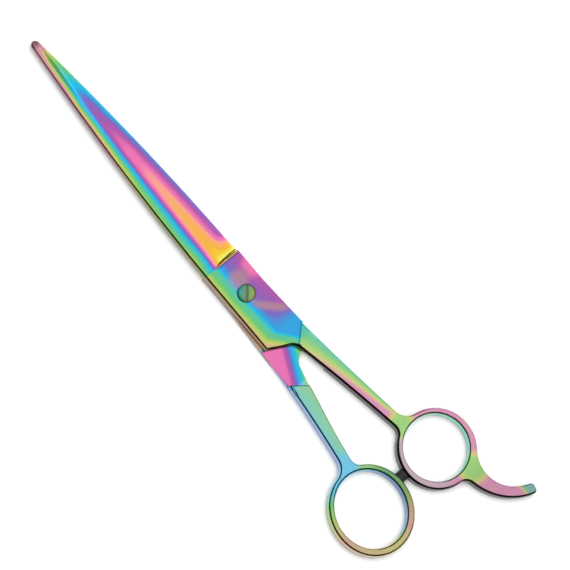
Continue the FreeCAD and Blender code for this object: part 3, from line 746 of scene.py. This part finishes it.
black_rubber = rubber_material()
bare_steel = turned_material("bare_steel", (0.42, 0.42, 0.43), (0.66, 0.66, 0.67), 0.3, 1.0, 5000)
white_plastic = turned_material("white_plastic", (0.72, 0.72, 0.69), (0.84, 0.84, 0.81), 0.45, 0.0, 2500)


def dress(obj, material):
    """Gives a piece its only material."""
    obj.data.materials.clear()
    obj.data.materials.append(material)


finger_half = polished_copy("finger_half", "finger_half_polished", 0.0,
                            ((reskin_shank, -26.5, -38.0, -60.5), (reskin_blade, BLADE_HEEL, BLADE_TIP)))
dress(finger_half, finger_steel)
thumb_half = polished_copy("thumb_half", "thumb_half_polished", 0.0, ((reskin_shank, -36.6, -36.6, -61.0),))
dress(thumb_half, thumb_steel)
pivot_screw = polished_copy("pivot_screw", "pivot_screw_polished", 0.05 * MM)
dress(pivot_screw, screw_steel)
for node, material in (("lock_nut", screw_steel), ("spring_washer", bare_steel),
                       ("pivot_bush", white_plastic), ("ride_washer", white_plastic),
                       ("bumper_pad", black_rubber), ("bumper_stud", bare_steel)):
    NODES[node].data.materials.clear()
    NODES[node].data.materials.append(material)


# ---------------------------------------------------------------- studio


def aim(obj, target):
    """Points a light at a place."""
    way = Vector(target) - obj.location
    obj.rotation_mode = "QUATERNION"
    obj.rotation_quaternion = way.to_track_quat("-Z", "Y")


def add_softbox(name, place, size_x, size_y, power):
    """A rectangular light that points at the pivot, size_y being its height if it stands upright."""
    data = bpy.data.lights.new(name, "AREA")
    data.shape = "RECTANGLE"
    data.size = size_x
    data.size_y = size_y
    data.energy = power
    light = bpy.data.objects.new(name, data)
    light.location = place
    bpy.context.scene.collection.objects.link(light)
    aim(light, (0, 0, 0))
    return light


def add_floor():
    """A wide sheet of pale paper, just clear of the back face."""
    deselect_all()
    bpy.ops.mesh.primitive_plane_add(size=6.0, location=(0, 0, -0.02 * MM))
    floor = bpy.context.object
    floor.name = "floor"
    material, _, shader = new_material("floor_paper", 0.9)
    shader.inputs["Base Color"].default_value = (0.88, 0.88, 0.88, 1)
    floor.data.materials.append(material)
    return floor


def add_world():
    world = bpy.data.worlds.new("studio")
    bpy.context.scene.world = world
    world.use_nodes = True
    world.node_tree.nodes["Background"].inputs["Color"].default_value = (0.05, 0.05, 0.06, 1)


# Powers in watts: the first sets how bright polished faces look, the second only lights matt ones.
OVERHEAD = 1.0 * math.pi * 1.7 * 2.0
RIGHT_FILL = 0.55 * math.pi * 2.4 * 1.24
FLOOR_LIGHT = 70.0

TILT = math.radians(17)
ROLL = math.radians(40.06)
DISTANCE = 1.5
VIEW_WIDTH = 0.1887


def add_camera():
    target = Vector((12.74, -6.1, 2.5)) * MM
    away = Vector((-math.sin(TILT), 0, math.cos(TILT)))
    sideways = Vector((math.cos(TILT), 0, math.sin(TILT)))
    along = Vector((0, 1, 0))
    right = sideways * math.cos(ROLL) - along * math.sin(ROLL)
    up = sideways * math.sin(ROLL) + along * math.cos(ROLL)
    data = bpy.data.cameras.new("camera")
    data.sensor_width = 36
    data.lens = 36 * DISTANCE / VIEW_WIDTH
    data.clip_start = 0.05
    data.clip_end = 50
    camera = bpy.data.objects.new("camera", data)
    place = target + away * DISTANCE
    camera.matrix_world = Matrix((
        (right.x, up.x, away.x, place.x),
        (right.y, up.y, away.y, place.y),
        (right.z, up.z, away.z, place.z),
        (0, 0, 0, 1),
    ))
    bpy.context.scene.collection.objects.link(camera)
    bpy.context.scene.camera = camera


add_floor()
add_world()
add_softbox("overhead", (0.42, 0.0, 1.3), 1.7, 2.0, OVERHEAD)
add_softbox("right_fill", (1.45, 0.0, 0.50), 2.4, 1.24, RIGHT_FILL)
floor_light = add_softbox("floor_light", (-0.3, 0.0, 2.2), 2.6, 2.6, FLOOR_LIGHT)
floor_light.visible_glossy = False
add_camera()
bpy.context.scene.view_settings.view_transform = "Standard"
